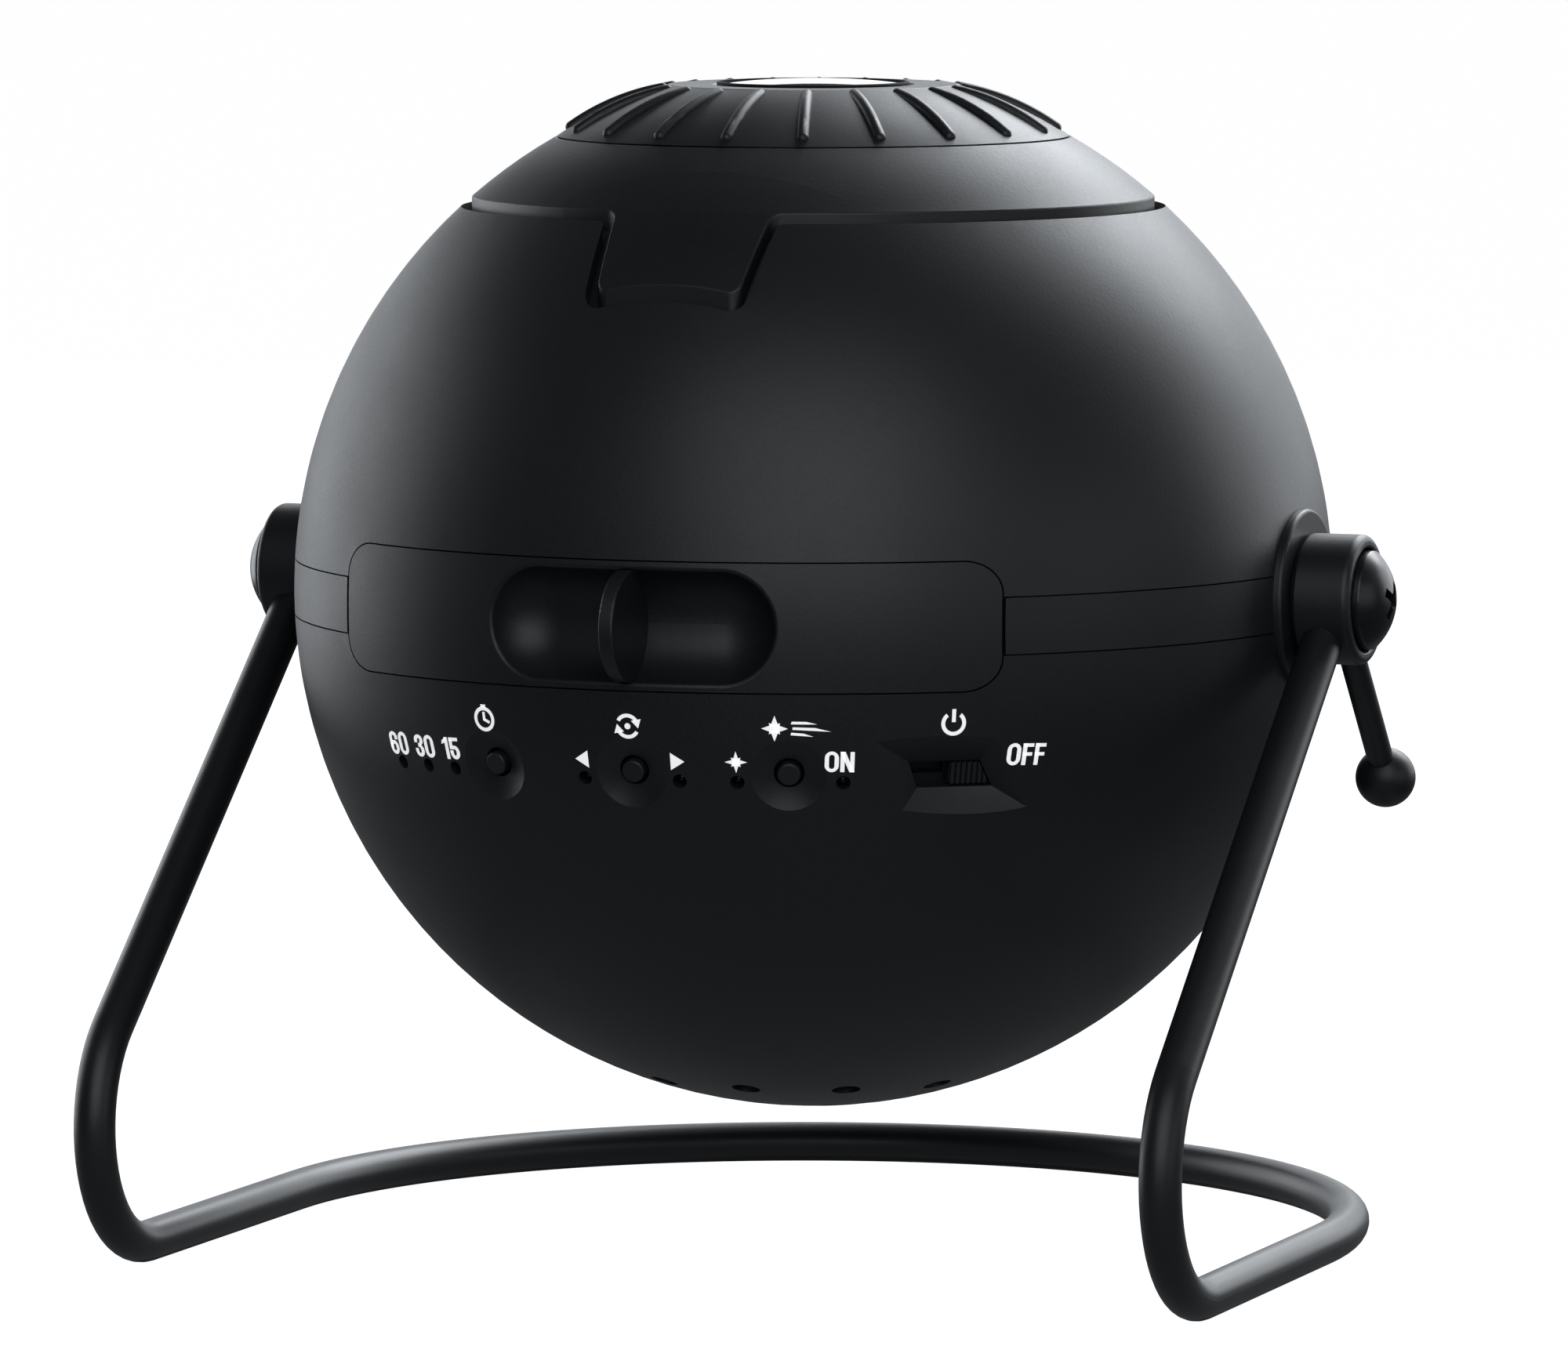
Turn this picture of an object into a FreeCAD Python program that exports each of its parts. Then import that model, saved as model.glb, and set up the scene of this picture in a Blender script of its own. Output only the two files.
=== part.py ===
import FreeCAD, Part
import math
import os

# Home planetarium projector: a tilting globe on a bent-rod stand.
# Row frame: millimetres, +Z up, +Y to the back, front of the globe faces -Y.
# Origin: on the table, straight below the middle of the overall box.

V = FreeCAD.Vector
os.makedirs("parts", exist_ok=True)

# ---------------------------------------------------------------- dimensions
R = 71.0            # globe outer radius
WALL = 2.2          # shell wall
RI = R - WALL       # globe inner radius
ZS = 89.1           # height of the globe centre above the table
AX = 0.6            # tilt axis above the globe centre
ZP = ZS + AX        # height of the tilt axis
YP = 2.55           # tilt axis behind the origin
SEAM = 0.2          # visible seams between shells, band and drawer front

ROD = 2.8           # stand rod radius
LEG_X = 75.05       # plane of each leg
LEG_ANGLE = math.radians(39.8)
CURL = 17.3         # centreline radius of the front curls
BASE_Y = -5.0       # where the straight base runs meet the rear half circle

COLLAR_R = 8.8
COLLAR_IN, COLLAR_OUT = 71.5, 79.4
SHAFT_R = 3.0
SHAFT_BORE = 3.08
HEAD_R = 6.65
HEAD_SEAT = 77.1
HEAD_EDGE = 80.2
HEAD_TIP = 83.1
CBORE_R = 7.1
PLATE_R = 12.0
PLATE_FACE = 71.1
CLAMP_R = 1.8                       # clamp screw, square to the leg
CLAMP_BORE = 1.86
CLAMP_ANGLE = math.radians(40.4)    # behind straight down
CLAMP_S0 = 4.6                      # inner end of the screw, from the tilt axis
BALL_R = 4.12
BALL_S = 34.5

BAND_LO, BAND_HI = -3.1, 4.3     # equator band, globe-centred heights
BAND_T = 1.35
PANEL_LO, PANEL_HI, PANEL_X, PANEL_CR = -7.8, 9.14, 46.3, 4.4
SCOOP_R, SCOOP_PATH, SCOOP_HALF = 7.7, 72.6, 10.35
SCOOP_Z = 0.65
FIN_R, FIN_T, FIN_Y = 7.35, 2.0, -70.6

BODY_TOP_Z = 52.27
LEDGE_Z = 51.0
RING_Z = 61.85
RING_TOP_Z, RING_TOP_R = 68.85, 19.7
RIBS = 20
LENS_HOLE = 13.35

BTN_LAT = -15.4
BTN_LON = (-17.7, 0.0, 17.7)
DISH_R, DISH_D = 4.95, 1.35
BTN_R, BTN_HOLE, BTN_TOP = 1.55, 2.03, 70.7
BTN_TRAVEL = 0.6
LED_LAT = -16.2
LED_LON = (-32.9, -28.2, -23.7, -5.7, 5.5, 12.0, 23.7)
LED_R, LED_HOLE, LED_TOP = 0.8, 0.95, 70.1
SW_LON, SW_LAT = 35.4, -15.3

BOARD_Y = -46.0

GEAR_M = 0.8
CARRIER_TEETH, PINION_TEETH = 74, 12


# ------------------------------------------------------------------- helpers
def radial(lon, lat):
    a, b = math.radians(lon), math.radians(lat)
    return V(math.cos(b) * math.sin(a), -math.cos(b) * math.cos(a), math.sin(b))


def radial_placement(lon, lat):
    """Local x points east, y points north and z points out of the globe."""
    a, b = math.radians(lon), math.radians(lat)
    n = radial(lon, lat)
    e = V(math.cos(a), math.sin(a), 0)
    u = n.cross(e)
    m = FreeCAD.Matrix(e.x, u.x, n.x, 0, e.y, u.y, n.y, 0, e.z, u.z, n.z, 0, 0, 0, 0, 1)
    return FreeCAD.Placement(m)


def placed(shape, placement):
    s = shape.copy()
    s.Placement = placement.multiply(s.Placement)
    return s


def cyl(r, h, p=(0, 0, 0), d=(0, 0, 1)):
    return Part.makeCylinder(r, h, V(*p), V(*d))


def tube(ro, ri, h, p=(0, 0, 0), d=(0, 0, 1)):
    return cyl(ro, h, p, d).cut(cyl(ri, h + 2, tuple(a - b for a, b in zip(p, d)), d))


def box(lo, hi):
    return Part.makeBox(hi[0] - lo[0], hi[1] - lo[1], hi[2] - lo[2], V(*lo))


def ball(r, p=(0, 0, 0)):
    return Part.makeSphere(r, V(*p))


def shell(ro, ri):
    return ball(ro).cut(ball(ri))


def poly_face(pts):
    vs = [V(*p) for p in pts]
    return Part.Face(Part.makePolygon(vs + [vs[0]]))


def rounded_prism(x0, x1, z0, z1, r, y0, y1):
    """A prism along Y with a rounded rectangle as its section."""
    k = r * math.sqrt(0.5)
    def arc(cx, cz, a):
        a0, a1, a2 = math.radians(a), math.radians(a + 45), math.radians(a + 90)
        return Part.Arc(V(cx + r * math.cos(a0), y0, cz + r * math.sin(a0)),
                        V(cx + r * math.cos(a1), y0, cz + r * math.sin(a1)),
                        V(cx + r * math.cos(a2), y0, cz + r * math.sin(a2))).toShape()
    edges = [arc(x1 - r, z1 - r, 0), Part.makeLine(V(x1 - r, y0, z1), V(x0 + r, y0, z1)),
             arc(x0 + r, z1 - r, 90), Part.makeLine(V(x0, y0, z1 - r), V(x0, y0, z0 + r)),
             arc(x0 + r, z0 + r, 180), Part.makeLine(V(x0 + r, y0, z0), V(x1 - r, y0, z0)),
             arc(x1 - r, z0 + r, 270), Part.makeLine(V(x1, y0, z0 + r), V(x1, y0, z1 - r))]
    w = Part.Wire(Part.__sortEdges__(edges))
    return Part.Face(w).extrude(V(0, y1 - y0, 0))


def revolve(items):
    """items: ("p", r, z) corners, or ("a", rm, zm, r, z) an arc through rm, zm to r, z."""
    edges = []
    start = items[0]
    last = V(start[1], 0, start[2])
    first = last
    for it in items[1:]:
        if it[0] == "p":
            nxt = V(it[1], 0, it[2])
            edges.append(Part.makeLine(last, nxt))
        else:
            nxt = V(it[3], 0, it[4])
            edges.append(Part.Arc(last, V(it[1], 0, it[2]), nxt).toShape())
        last = nxt
    if last.distanceToPoint(first) > 1e-6:
        edges.append(Part.makeLine(last, first))
    f = Part.Face(Part.Wire(edges))
    return f.revolve(V(0, 0, 0), V(0, 0, 1), 360)


def sr(z, rad=R):
    """Radius of a horizontal circle of the globe at height z."""
    return math.sqrt(max(0.0, rad * rad - z * z))


def mid_arc(z0, z1, rad):
    """The point half way along a meridian arc between two heights."""
    a = (math.asin(z0 / rad) + math.asin(z1 / rad)) / 2
    return rad * math.cos(a), rad * math.sin(a)


def try_fillet(shape, r, pick, label):
    edges = [e for e in shape.Edges if pick(e)]
    for n in (edges,):
        try:
            out = shape.makeFillet(r, n)
            if out.isValid() and out.Volume > 0.5 * shape.Volume:
                return out
        except Exception:
            pass
    ok = shape
    done = 0
    for e in edges:
        try:
            out = ok.makeFillet(r, [x for x in ok.Edges if x.CenterOfMass.distanceToPoint(e.CenterOfMass) < 1e-4][:1])
            if out.isValid():
                ok = out
                done += 1
        except Exception:
            pass
    print("fillet", label, "single edges", done, "of", len(edges))
    return ok


UP = V(0, 0, ZS)


def export(name, shape, lift=True):
    s = shape.copy()
    s.translate(UP + V(0, YP, 0) if lift else V(0, YP, 0))
    if s.ShapeType == "Compound" and len(s.Solids) == 1:
        s = s.Solids[0]
    bad = [i for i, x in enumerate(s.Solids) if not x.isValid() or x.Volume <= 0]
    print("%-18s solids %d  volume %.1f%s" % (name, len(s.Solids), s.Volume, "  INVALID %s" % bad if bad else ""))
    s.exportStep("parts/%s.step" % name)
    return s


# --------------------------------------------------------------------- stand
def leg_point(s, side):
    """Point on the leg's centreline, s along it from the tilt axis."""
    return V(side * LEG_X, -s * math.cos(LEG_ANGLE), ZP - s * math.sin(LEG_ANGLE))


def stand_rod():
    n = (math.sin(LEG_ANGLE), -math.cos(LEG_ANGLE))
    s = (ZP + n[1] * CURL - (ROD + CURL)) / math.sin(LEG_ANGLE)
    cy, cz = n[0] * CURL - s * math.cos(LEG_ANGLE), ROD + CURL
    a0 = math.atan2(-n[1], -n[0])
    a1 = 1.5 * math.pi
    am = (a0 + a1) / 2
    def side(sx):
        p0 = leg_point(4.0, sx)
        p1 = V(sx * LEG_X, cy + CURL * math.cos(a0), cz + CURL * math.sin(a0))
        pm = V(sx * LEG_X, cy + CURL * math.cos(am), cz + CURL * math.sin(am))
        p2 = V(sx * LEG_X, cy, ROD)
        p3 = V(sx * LEG_X, BASE_Y, ROD)
        return p0, p1, pm, p2, p3
    a, b = side(1), side(-1)
    edges = [Part.makeLine(a[0], a[1]), Part.Arc(a[1], a[2], a[3]).toShape(), Part.makeLine(a[3], a[4]),
             Part.Arc(a[4], V(0, BASE_Y + LEG_X, ROD), b[4]).toShape(),
             Part.makeLine(b[4], b[3]), Part.Arc(b[3], b[2], b[1]).toShape(), Part.makeLine(b[1], b[0])]
    path = Part.Wire(edges)
    d = (a[1] - a[0]).normalize()
    prof = Part.Wire(Part.makeCircle(ROD, a[0], d))
    rod = path.makePipeShell([prof], True, False)
    print("rod volume", rod.Volume, "expected", math.pi * ROD ** 2 * path.Length)
    for sx in (1, -1):
        rod = rod.cut(cyl(COLLAR_R, 30, (sx * 60 if sx > 0 else -90, 0, ZP), (1, 0, 0)))
    rod = max(rod.Solids, key=lambda q: q.Volume)
    return rod


def clamp_dir():
    return V(0, math.sin(CLAMP_ANGLE), -math.cos(CLAMP_ANGLE))


def clamp_cyl(r, s0, s1):
    d = clamp_dir()
    return Part.makeCylinder(r, s1 - s0, V(LEG_X, 0, 0) + d * s0, d)


def collar(side):
    """Collar at the leg's upper end, modelled on +X and mirrored for the left."""
    body = cyl(COLLAR_R, COLLAR_OUT - COLLAR_IN, (COLLAR_IN, 0, 0), (1, 0, 0))
    body = try_fillet(body, 1.0, lambda e: abs(e.CenterOfMass.x - COLLAR_OUT) < 1e-3, "collar lip")
    body = try_fillet(body, 0.4, lambda e: abs(e.CenterOfMass.x - COLLAR_IN) < 1e-3, "collar inner")
    body = body.cut(cyl(CBORE_R, 20, (HEAD_SEAT, 0, 0), (1, 0, 0)))
    body = try_fillet(body, 0.3, lambda e: e.CenterOfMass.x > COLLAR_OUT - 0.6 and abs(e.BoundBox.ZLength - 2 * CBORE_R) < 0.1, "counterbore lip")
    body = body.cut(cyl(SHAFT_BORE, 40, (60, 0, 0), (1, 0, 0)))
    if side > 0:
        body = body.cut(clamp_cyl(CLAMP_BORE, 0.0, 14.0))
    body = max(body.Solids, key=lambda q: q.Volume)
    if side < 0:
        body = body.mirror(V(0, 0, 0), V(1, 0, 0))
    body.translate(V(0, 0, ZP))
    return body


def pivot_screw(side):
    dome_h = HEAD_TIP - HEAD_EDGE
    rs = (HEAD_R ** 2 + dome_h ** 2) / (2 * dome_h)
    head = cyl(HEAD_R, HEAD_EDGE - (HEAD_SEAT + 0.15), (HEAD_SEAT + 0.15, 0, 0), (1, 0, 0))
    dome = ball(rs, (HEAD_TIP - rs, 0, 0)).common(cyl(HEAD_R, 10, (HEAD_EDGE, 0, 0), (1, 0, 0)))
    s = head.fuse(dome).removeSplitter()
    s = try_fillet(s, 0.3, lambda e: abs(e.CenterOfMass.x - HEAD_EDGE) < 1e-3 and e.BoundBox.ZLength > 13, "screw head")
    # cross recess, deeper in the middle, with tapered wings
    cross = None
    for rot in (0, 90):
        w = poly_face([(HEAD_TIP + 1, -3.1, -0.62), (HEAD_TIP + 1, 3.1, -0.62), (HEAD_TIP - 1.4, 2.3, -0.62), (HEAD_TIP - 3.2, 0.5, -0.62),
                       (HEAD_TIP - 3.2, -0.5, -0.62), (HEAD_TIP - 1.4, -2.3, -0.62)]).extrude(V(0, 0, 1.24))
        w.rotate(V(0, 0, 0), V(1, 0, 0), rot - 31)
        cross = w if cross is None else cross.fuse(w)
    for k in range(1):
        c = Part.makeCone(0.35, 1.25, 3.0, V(HEAD_TIP - 2.4, 0, 0), V(1, 0, 0))
    cross = cross.fuse(c)
    s = s.cut(cross)
    s = s.fuse(cyl(SHAFT_R, 14.0, (HEAD_SEAT + 0.2 - 14.0, 0, 0), (1, 0, 0)))
    s = max(s.Solids, key=lambda q: q.Volume)
    s = s.removeSplitter()
    if side < 0:
        s = s.mirror(V(0, 0, 0), V(1, 0, 0))
    s.translate(V(0, 0, ZP))
    return s


def pivot_plate(side):
    f = cyl(PLATE_R, PLATE_FACE - 66.9, (66.9, 0, 0), (1, 0, 0))
    f = try_fillet(f, 0.45, lambda e: abs(e.CenterOfMass.x - PLATE_FACE) < 1e-3, "plate rim")
    s = f.fuse(cyl(14.4, 2.1, (64.8, 0, 0), (1, 0, 0))).fuse(cyl(6.5, 3.6, (61.2, 0, 0), (1, 0, 0)))
    s = s.cut(cyl(SHAFT_R, 30, (55, 0, 0), (1, 0, 0))).removeSplitter()
    if side < 0:
        s = s.mirror(V(0, 0, 0), V(1, 0, 0))
    s.translate(V(0, 0, AX))
    return s


# -------------------------------------------------------------- globe shells
def lid_prism(rim, half_root, half_tip, y_tip, r_tip, r_root):
    """Top-view outline of the cover: a disc with a tapering tab at the front, upright walls."""
    y_root = -30.0
    k = (half_root - half_tip) / (-43.0 - y_tip)
    hr = half_tip + k * (y_root - y_tip)
    f = poly_face([(-hr, y_root, 30), (-half_tip, y_tip, 30), (half_tip, y_tip, 30), (hr, y_root, 30)])
    p = f.extrude(V(0, 0, 45))
    p = p.makeFillet(r_tip, [e for e in p.Edges if e.BoundBox.ZLength > 40 and e.CenterOfMass.y < y_tip + 0.1])
    p = p.fuse(cyl(rim, 45, (0, 0, 30)))
    root = [e for e in p.Edges if e.BoundBox.ZLength > 40 and e.CenterOfMass.y < -38 and abs(abs(e.CenterOfMass.x) - half_root) < 1.8 and e.BoundBox.XLength < 0.01
            and abs(math.hypot(e.CenterOfMass.x, e.CenterOfMass.y) - rim) < 0.05]
    try:
        q = p.makeFillet(r_root, root)
        if q.isValid():
            return q
    except Exception:
        pass
    print("lid root fillet failed", len(root))
    return p


COVER_RIM, BODY_RIM = 46.55, 48.05
COVER_LID = (COVER_RIM, 11.35, 10.1, -55.3, 1.7, 2.2)
BODY_LID = (BODY_RIM, 12.6, 11.5, -57.0, 2.6, 1.4)


def pole_shell(ro, ri, tilt):
    """Hollow ball with its poles on X and its seam at the back, tilt degrees up."""
    s = Part.makeSphere(ro, V(0, 0, 0), V(0, 0, 1), -90, 90, 360).cut(Part.makeSphere(ri, V(0, 0, 0), V(0, 0, 1), -90, 90, 360))
    s.rotate(V(0, 0, 0), V(0, 1, 0), 90)
    # the seam now lies towards -Z; swing it round the X axis to the back
    s.rotate(V(0, 0, 0), V(1, 0, 0), 90 + tilt)
    return s


def upper_shell():
    z0 = BAND_HI + SEAM
    zi = 0.7
    rl = R - BAND_T - 0.05
    s = pole_shell(R, RI, -10).common(box((-80, -80, z0), (80, 80, 80)))
    s = s.fuse(pole_shell(rl, RI, -10).common(box((-80, -80, zi), (80, 80, z0 + 1.0))))
    # ledge that carries the cover, and a floor under its tab
    s = s.cut(cyl(80, 30, (0, 0, BODY_TOP_Z + 1.2)))
    s = s.fuse(tube(47.4, 43.0, LEDGE_Z - 49.5, (0, 0, 49.5)))
    pocket = shell(68.95, 66.9).common(box((-14.5, -60, 38.5), (14.5, -10, 51.0)))
    s = s.fuse(pocket)
    lid = lid_prism(*BODY_LID)
    s = s.cut(lid.common(shell(80, 68.95)))
    return s.cut(cyl(BODY_RIM, 30, (0, 0, LEDGE_Z)))


def lower_shell():
    z1 = BAND_LO - SEAM
    zi = 0.5
    rl = R - BAND_T - 0.05
    s = pole_shell(R, RI, 10).common(box((-80, -80, -80), (80, 80, z1)))
    return s.fuse(pole_shell(rl, RI, 10).common(box((-80, -80, z1 - 1.0), (80, 80, zi))))


def equator_band():
    prof = [("p", sr(BAND_LO), BAND_LO), ("a", R, 0.0, sr(BAND_HI), BAND_HI), ("p", sr(BAND_HI, R - BAND_T), BAND_HI),
            ("a", R - BAND_T, 0.0, sr(BAND_LO, R - BAND_T), BAND_LO)]
    s = revolve(prof)
    s = s.cut(box((-(PANEL_X + 0.4), -80, -20), (PANEL_X + 0.4, 0, 20)))
    return s


def openings(s):
    """Cuts shared by the shells: drawer opening and pivot plates."""
    g = SEAM
    s = s.cut(rounded_prism(-PANEL_X - g, PANEL_X + g, PANEL_LO - g, PANEL_HI + g, PANEL_CR + g, -80, -20))
    for sx in (1, -1):
        s = s.cut(cyl(PLATE_R + 0.05, 30, (sx * 60 if sx > 0 else -90, 0, AX), (1, 0, 0)))
    return s


def dish(lon, lat):
    sag = R - math.sqrt(R * R - DISH_R ** 2)
    d = DISH_D - sag
    rt = (DISH_R ** 2 + d * d) / (2 * d)
    return ball(rt, tuple(radial(lon, lat) * (R - DISH_D + rt)))


def radial_cyl(r, r0, r1, lon, lat):
    n = radial(lon, lat)
    return Part.makeCylinder(r, r1 - r0, n * r0, n)


# slanted funnel round the power slider, corners in the tangent plane (east, north)
FUNNEL_OUT = [(-11.0, 5.05), (6.4, 4.5), (13.2, -6.5), (-5.75, -5.2)]
FUNNEL_IN = [(-4.8, 0.7), (4.95, 0.7), (6.8, -3.0), (-3.4, -3.0)]
FUNNEL_D = 2.3


def loft_quad(a, za, b, zb):
    wa = Part.makePolygon([V(x, y, za) for x, y in a + a[:1]])
    wb = Part.makePolygon([V(x, y, zb) for x, y in b + b[:1]])
    return Part.makeLoft([wa, wb], True, True)


def scale_quad(q, k):
    cx = sum(p[0] for p in q) / 4
    cy = sum(p[1] for p in q) / 4
    return [(cx + (x - cx) * k, cy + (y - cy) * k) for x, y in q]


def extrap(k):
    """Funnel outline carried on past the surface by k times its depth."""
    return [(o[0] + (o[0] - i[0]) * k, o[1] + (o[1] - i[1]) * k) for o, i in zip(FUNNEL_OUT, FUNNEL_IN)]


def funnel():
    top = R - 0.45
    bot = top - FUNNEL_D
    f = loft_quad(FUNNEL_IN, bot, extrap(0.8), top + FUNNEL_D * 0.8)
    return placed(f, radial_placement(SW_LON, SW_LAT)), bot


def grow_quad(q, m):
    """Outline moved out by about m on every side."""
    cx = sum(p[0] for p in q) / 4
    cy = sum(p[1] for p in q) / 4
    return [(x + math.copysign(m, x - cx), y + math.copysign(m, y - cy)) for x, y in q]


# -------------------------------------------------------------------- drawer
def capsule(r):
    """The finger scoop's round-bottomed trough, following the globe."""
    a = math.radians(SCOOP_HALF)
    at = lambda t: V(SCOOP_PATH * math.sin(t), -SCOOP_PATH * math.cos(t), SCOOP_Z)
    path = Part.Wire([Part.Arc(at(-a), at(0), at(a)).toShape()])
    ring = Part.Wire([Part.makeCircle(r, at(-a), V(math.cos(a), -math.sin(a), 0))])
    s = path.makePipeShell([ring], True, False)
    for sg in (1, -1):
        s = s.fuse(ball(r, tuple(at(sg * a))))
    return s


def tray_front():
    prism = rounded_prism(-PANEL_X, PANEL_X, PANEL_LO, PANEL_HI, PANEL_CR, -90, -20)
    s = shell(R, RI).common(prism)
    s = max(s.Solids, key=lambda q: q.Volume)
    bulge = capsule(SCOOP_R + 1.3).common(ball(RI + 0.5)).common(rounded_prism(-PANEL_X, PANEL_X, PANEL_LO + 0.15, PANEL_HI - 0.15, 3.0, -90, -20))
    s = s.fuse(bulge)
    s = s.cut(capsule(SCOOP_R))
    s = max(s.Solids, key=lambda q: q.Volume)
    s0 = s
    rim = [e for e in s.Edges if all(abs(v.Point.Length - R) < 0.02 for v in e.Vertexes)
           and abs(e.CenterOfMass.x) < 24 and abs(e.CenterOfMass.z - SCOOP_Z) < 7.9 and abs(e.CenterOfMass.z - SCOOP_Z) > -1
           and all(abs(v.Point.x) < 24 for v in e.Vertexes)]
    for r in (0.55, 0.4, 0.25):
        try:
            t = s0.makeFillet(r, rim)
            if t.isValid() and t.Volume > 0.9 * s0.Volume:
                s = t
                print("scoop rim fillet", r)
                break
        except Exception:
            pass
    fin = cyl(FIN_R, FIN_T, (-FIN_T / 2, FIN_Y, SCOOP_Z), (1, 0, 0))
    fin = try_fillet(fin, 0.3, lambda e: abs(abs(e.CenterOfMass.x) - FIN_T / 2) < 1e-3, "fin")
    fin = fin.cut(box((-5, -64.4, -20), (5, -40, 20)))
    s = s.fuse(fin)
    return max(s.Solids, key=lambda q: q.Volume)


def tray_frame():
    s = box((-34, -68, -1.4), (34, 29, 0.6))
    for sx in (1, -1):
        s = s.fuse(box((min(sx * 32.4, sx * 34), -58, -1.4), (max(sx * 32.4, sx * 34), 48, 2.6)))
    s = s.fuse(box((-30, -62, -1.4), (30, -58, 5.5)))
    s = s.cut(cyl(27.15, 10, (0, 0, -5)))
    s = s.cut(cyl(31.0, 10, (0, 0, 0.6)))
    s = s.common(ball(RI))
    s = s.cut(capsule(SCOOP_R + 1.3))
    return max(s.Solids, key=lambda q: q.Volume)


# --------------------------------------------------------------------- gears
def gear_face(teeth, m, z, backlash=0.06, add=1.0, ded=1.25, pa=20.0):
    rp = m * teeth / 2
    rb = rp * math.cos(math.radians(pa))
    ro = rp + add * m
    rr = rp - ded * m
    inv = lambda a: math.tan(a) - a
    half = math.pi / (2 * teeth) - backlash / (2 * rp)
    def ang(r):
        if r <= rb:
            return half + inv(math.radians(pa))
        a = math.acos(rb / r)
        return half + inv(math.radians(pa)) - inv(a)
    radii = [max(rb, rr + 0.02), (max(rb, rr) + rp) / 2, rp, (rp + ro) / 2, ro]
    pts = []
    for k in range(teeth):
        c = 2 * math.pi * k / teeth
        left = [(r, c - ang(r)) for r in radii]
        right = [(r, c + ang(r)) for r in reversed(radii)]
        if rb > rr + 0.02:
            left = [(rr, c - ang(rb))] + left
            right = right + [(rr, c + ang(rb))]
        pts += left + right
    vs = [(r * math.cos(a), r * math.sin(a), z) for r, a in pts]
    return poly_face(vs)


# =================================================================== modelling
# stand
export("stand_rod", stand_rod(), False)
export("collar_right", collar(1), False)
export("collar_left", collar(-1), False)

# ball-ended clamp screw in the right collar, with its pad against the pivot shaft
ball_c = V(LEG_X, 0, 0) + clamp_dir() * BALL_S
knob = ball(BALL_R, tuple(ball_c))
stem = clamp_cyl(CLAMP_R, CLAMP_S0, BALL_S - BALL_R + 0.55)
stem = stem.cut(knob)
stem = max(stem.Solids, key=lambda q: q.Volume).removeSplitter()
pad = clamp_cyl(1.5, SHAFT_R + 0.03, CLAMP_S0 - 0.05)
for n, s in (("clamp_pad", pad), ("clamp_stem", stem), ("clamp_ball", knob)):
    s = s.copy()
    s.translate(V(0, 0, ZP))
    export(n, s, False)

# pivots, carried by the globe
for side, label in ((1, "right"), (-1, "left")):
    export("pivot_screw_" + label, pivot_screw(side), False)
    export("pivot_plate_" + label, pivot_plate(side))
    w = tube(8.0, SHAFT_R, 0.32, (PLATE_FACE + 0.02, 0, AX), (1, 0, 0))
    w = w if side > 0 else w.mirror(V(0, 0, 0), V(1, 0, 0))
    export("pivot_washer_" + label, w)

# shells
up = openings(upper_shell())
lo = openings(lower_shell())
holes = None
for lon in BTN_LON:
    lo = lo.cut(dish(lon, BTN_LAT))
    lo = lo.cut(radial_cyl(BTN_HOLE, 60, 80, lon, BTN_LAT))
for lon in LED_LON:
    lo = lo.cut(radial_cyl(LED_HOLE, 60, 80, lon, LED_LAT))
fun, fun_bot = funnel()
pocket = placed(loft_quad(grow_quad(FUNNEL_IN, 1.3), fun_bot - 1.0, grow_quad(FUNNEL_OUT, 1.6), R - 0.9), radial_placement(SW_LON, SW_LAT)).common(ball(RI + 0.6))
lo = lo.fuse(pocket)
lo = lo.cut(fun)
slotq = placed(loft_quad(FUNNEL_IN, fun_bot - 4.0, FUNNEL_IN, fun_bot + 0.2), radial_placement(SW_LON, SW_LAT))
lo = lo.cut(slotq)
for k in range(12):
    lon = 30.0 * k
    lo = lo.cut(radial_cyl(1.95, 60, 80, lon, -68.3))
for k in range(8):
    lo = lo.cut(radial_cyl(1.95, 60, 80, 45.0 * k - 11.25, -80.5))
# two shell screws at the back, driven up from below through counterbored bosses
SCREWS = ((22.0, 48.0), (-22.0, 48.0))
for x, y in SCREWS:
    zin = -math.sqrt(RI ** 2 - x * x - y * y)
    boss = cyl(4.6, -6.0 - zin + 8, (x, y, zin - 8)).common(ball(RI + 0.5)).cut(box((-80, -80, -6.0), (80, 80, 80)))
    lo = lo.fuse(boss)
    lo = lo.cut(cyl(3.2, 70, (x, y, -80 )).common(box((-80, -80, -80), (80, 80, -18.0))))
    lo = lo.cut(cyl(1.6, 40, (x, y, -30)))
# power inlet at the back, low down
JACK_LAT = -22.0
lo = lo.cut(radial_cyl(5.2, 60, 80, 180.0, JACK_LAT))
lo = max(lo.Solids, key=lambda q: q.Volume)
for x, y in SCREWS:
    # hanging bosses of the upper shell, carried by a gusset on the wall
    zt = 14.0
    boss = cyl(4.6, zt + 6.0, (x, y, -6.0))
    web = box((min(x, x * 1.0) - 1.2, y, 1.0), (x + 1.2, 66, zt))
    b = boss.fuse(web).common(ball(RI + 0.4)).cut(box((-80, -80, -6.5), (80, 80, -6.0)))
    up = up.fuse(b)
    up = up.cut(cyl(1.3, 14.0, (x, y, -6.5)))
up = max(up.Solids, key=lambda q: q.Volume)
lo = lo.cut(up)
lo = max(lo.Solids, key=lambda q: q.Volume)
export("upper_shell", up)
export("lower_shell", lo)
band = equator_band()
for sx in (1, -1):
    band = band.cut(cyl(PLATE_R + 0.05, 30, (sx * 60 if sx > 0 else -90, 0, AX), (1, 0, 0)))
export("equator_band", band)

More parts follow.
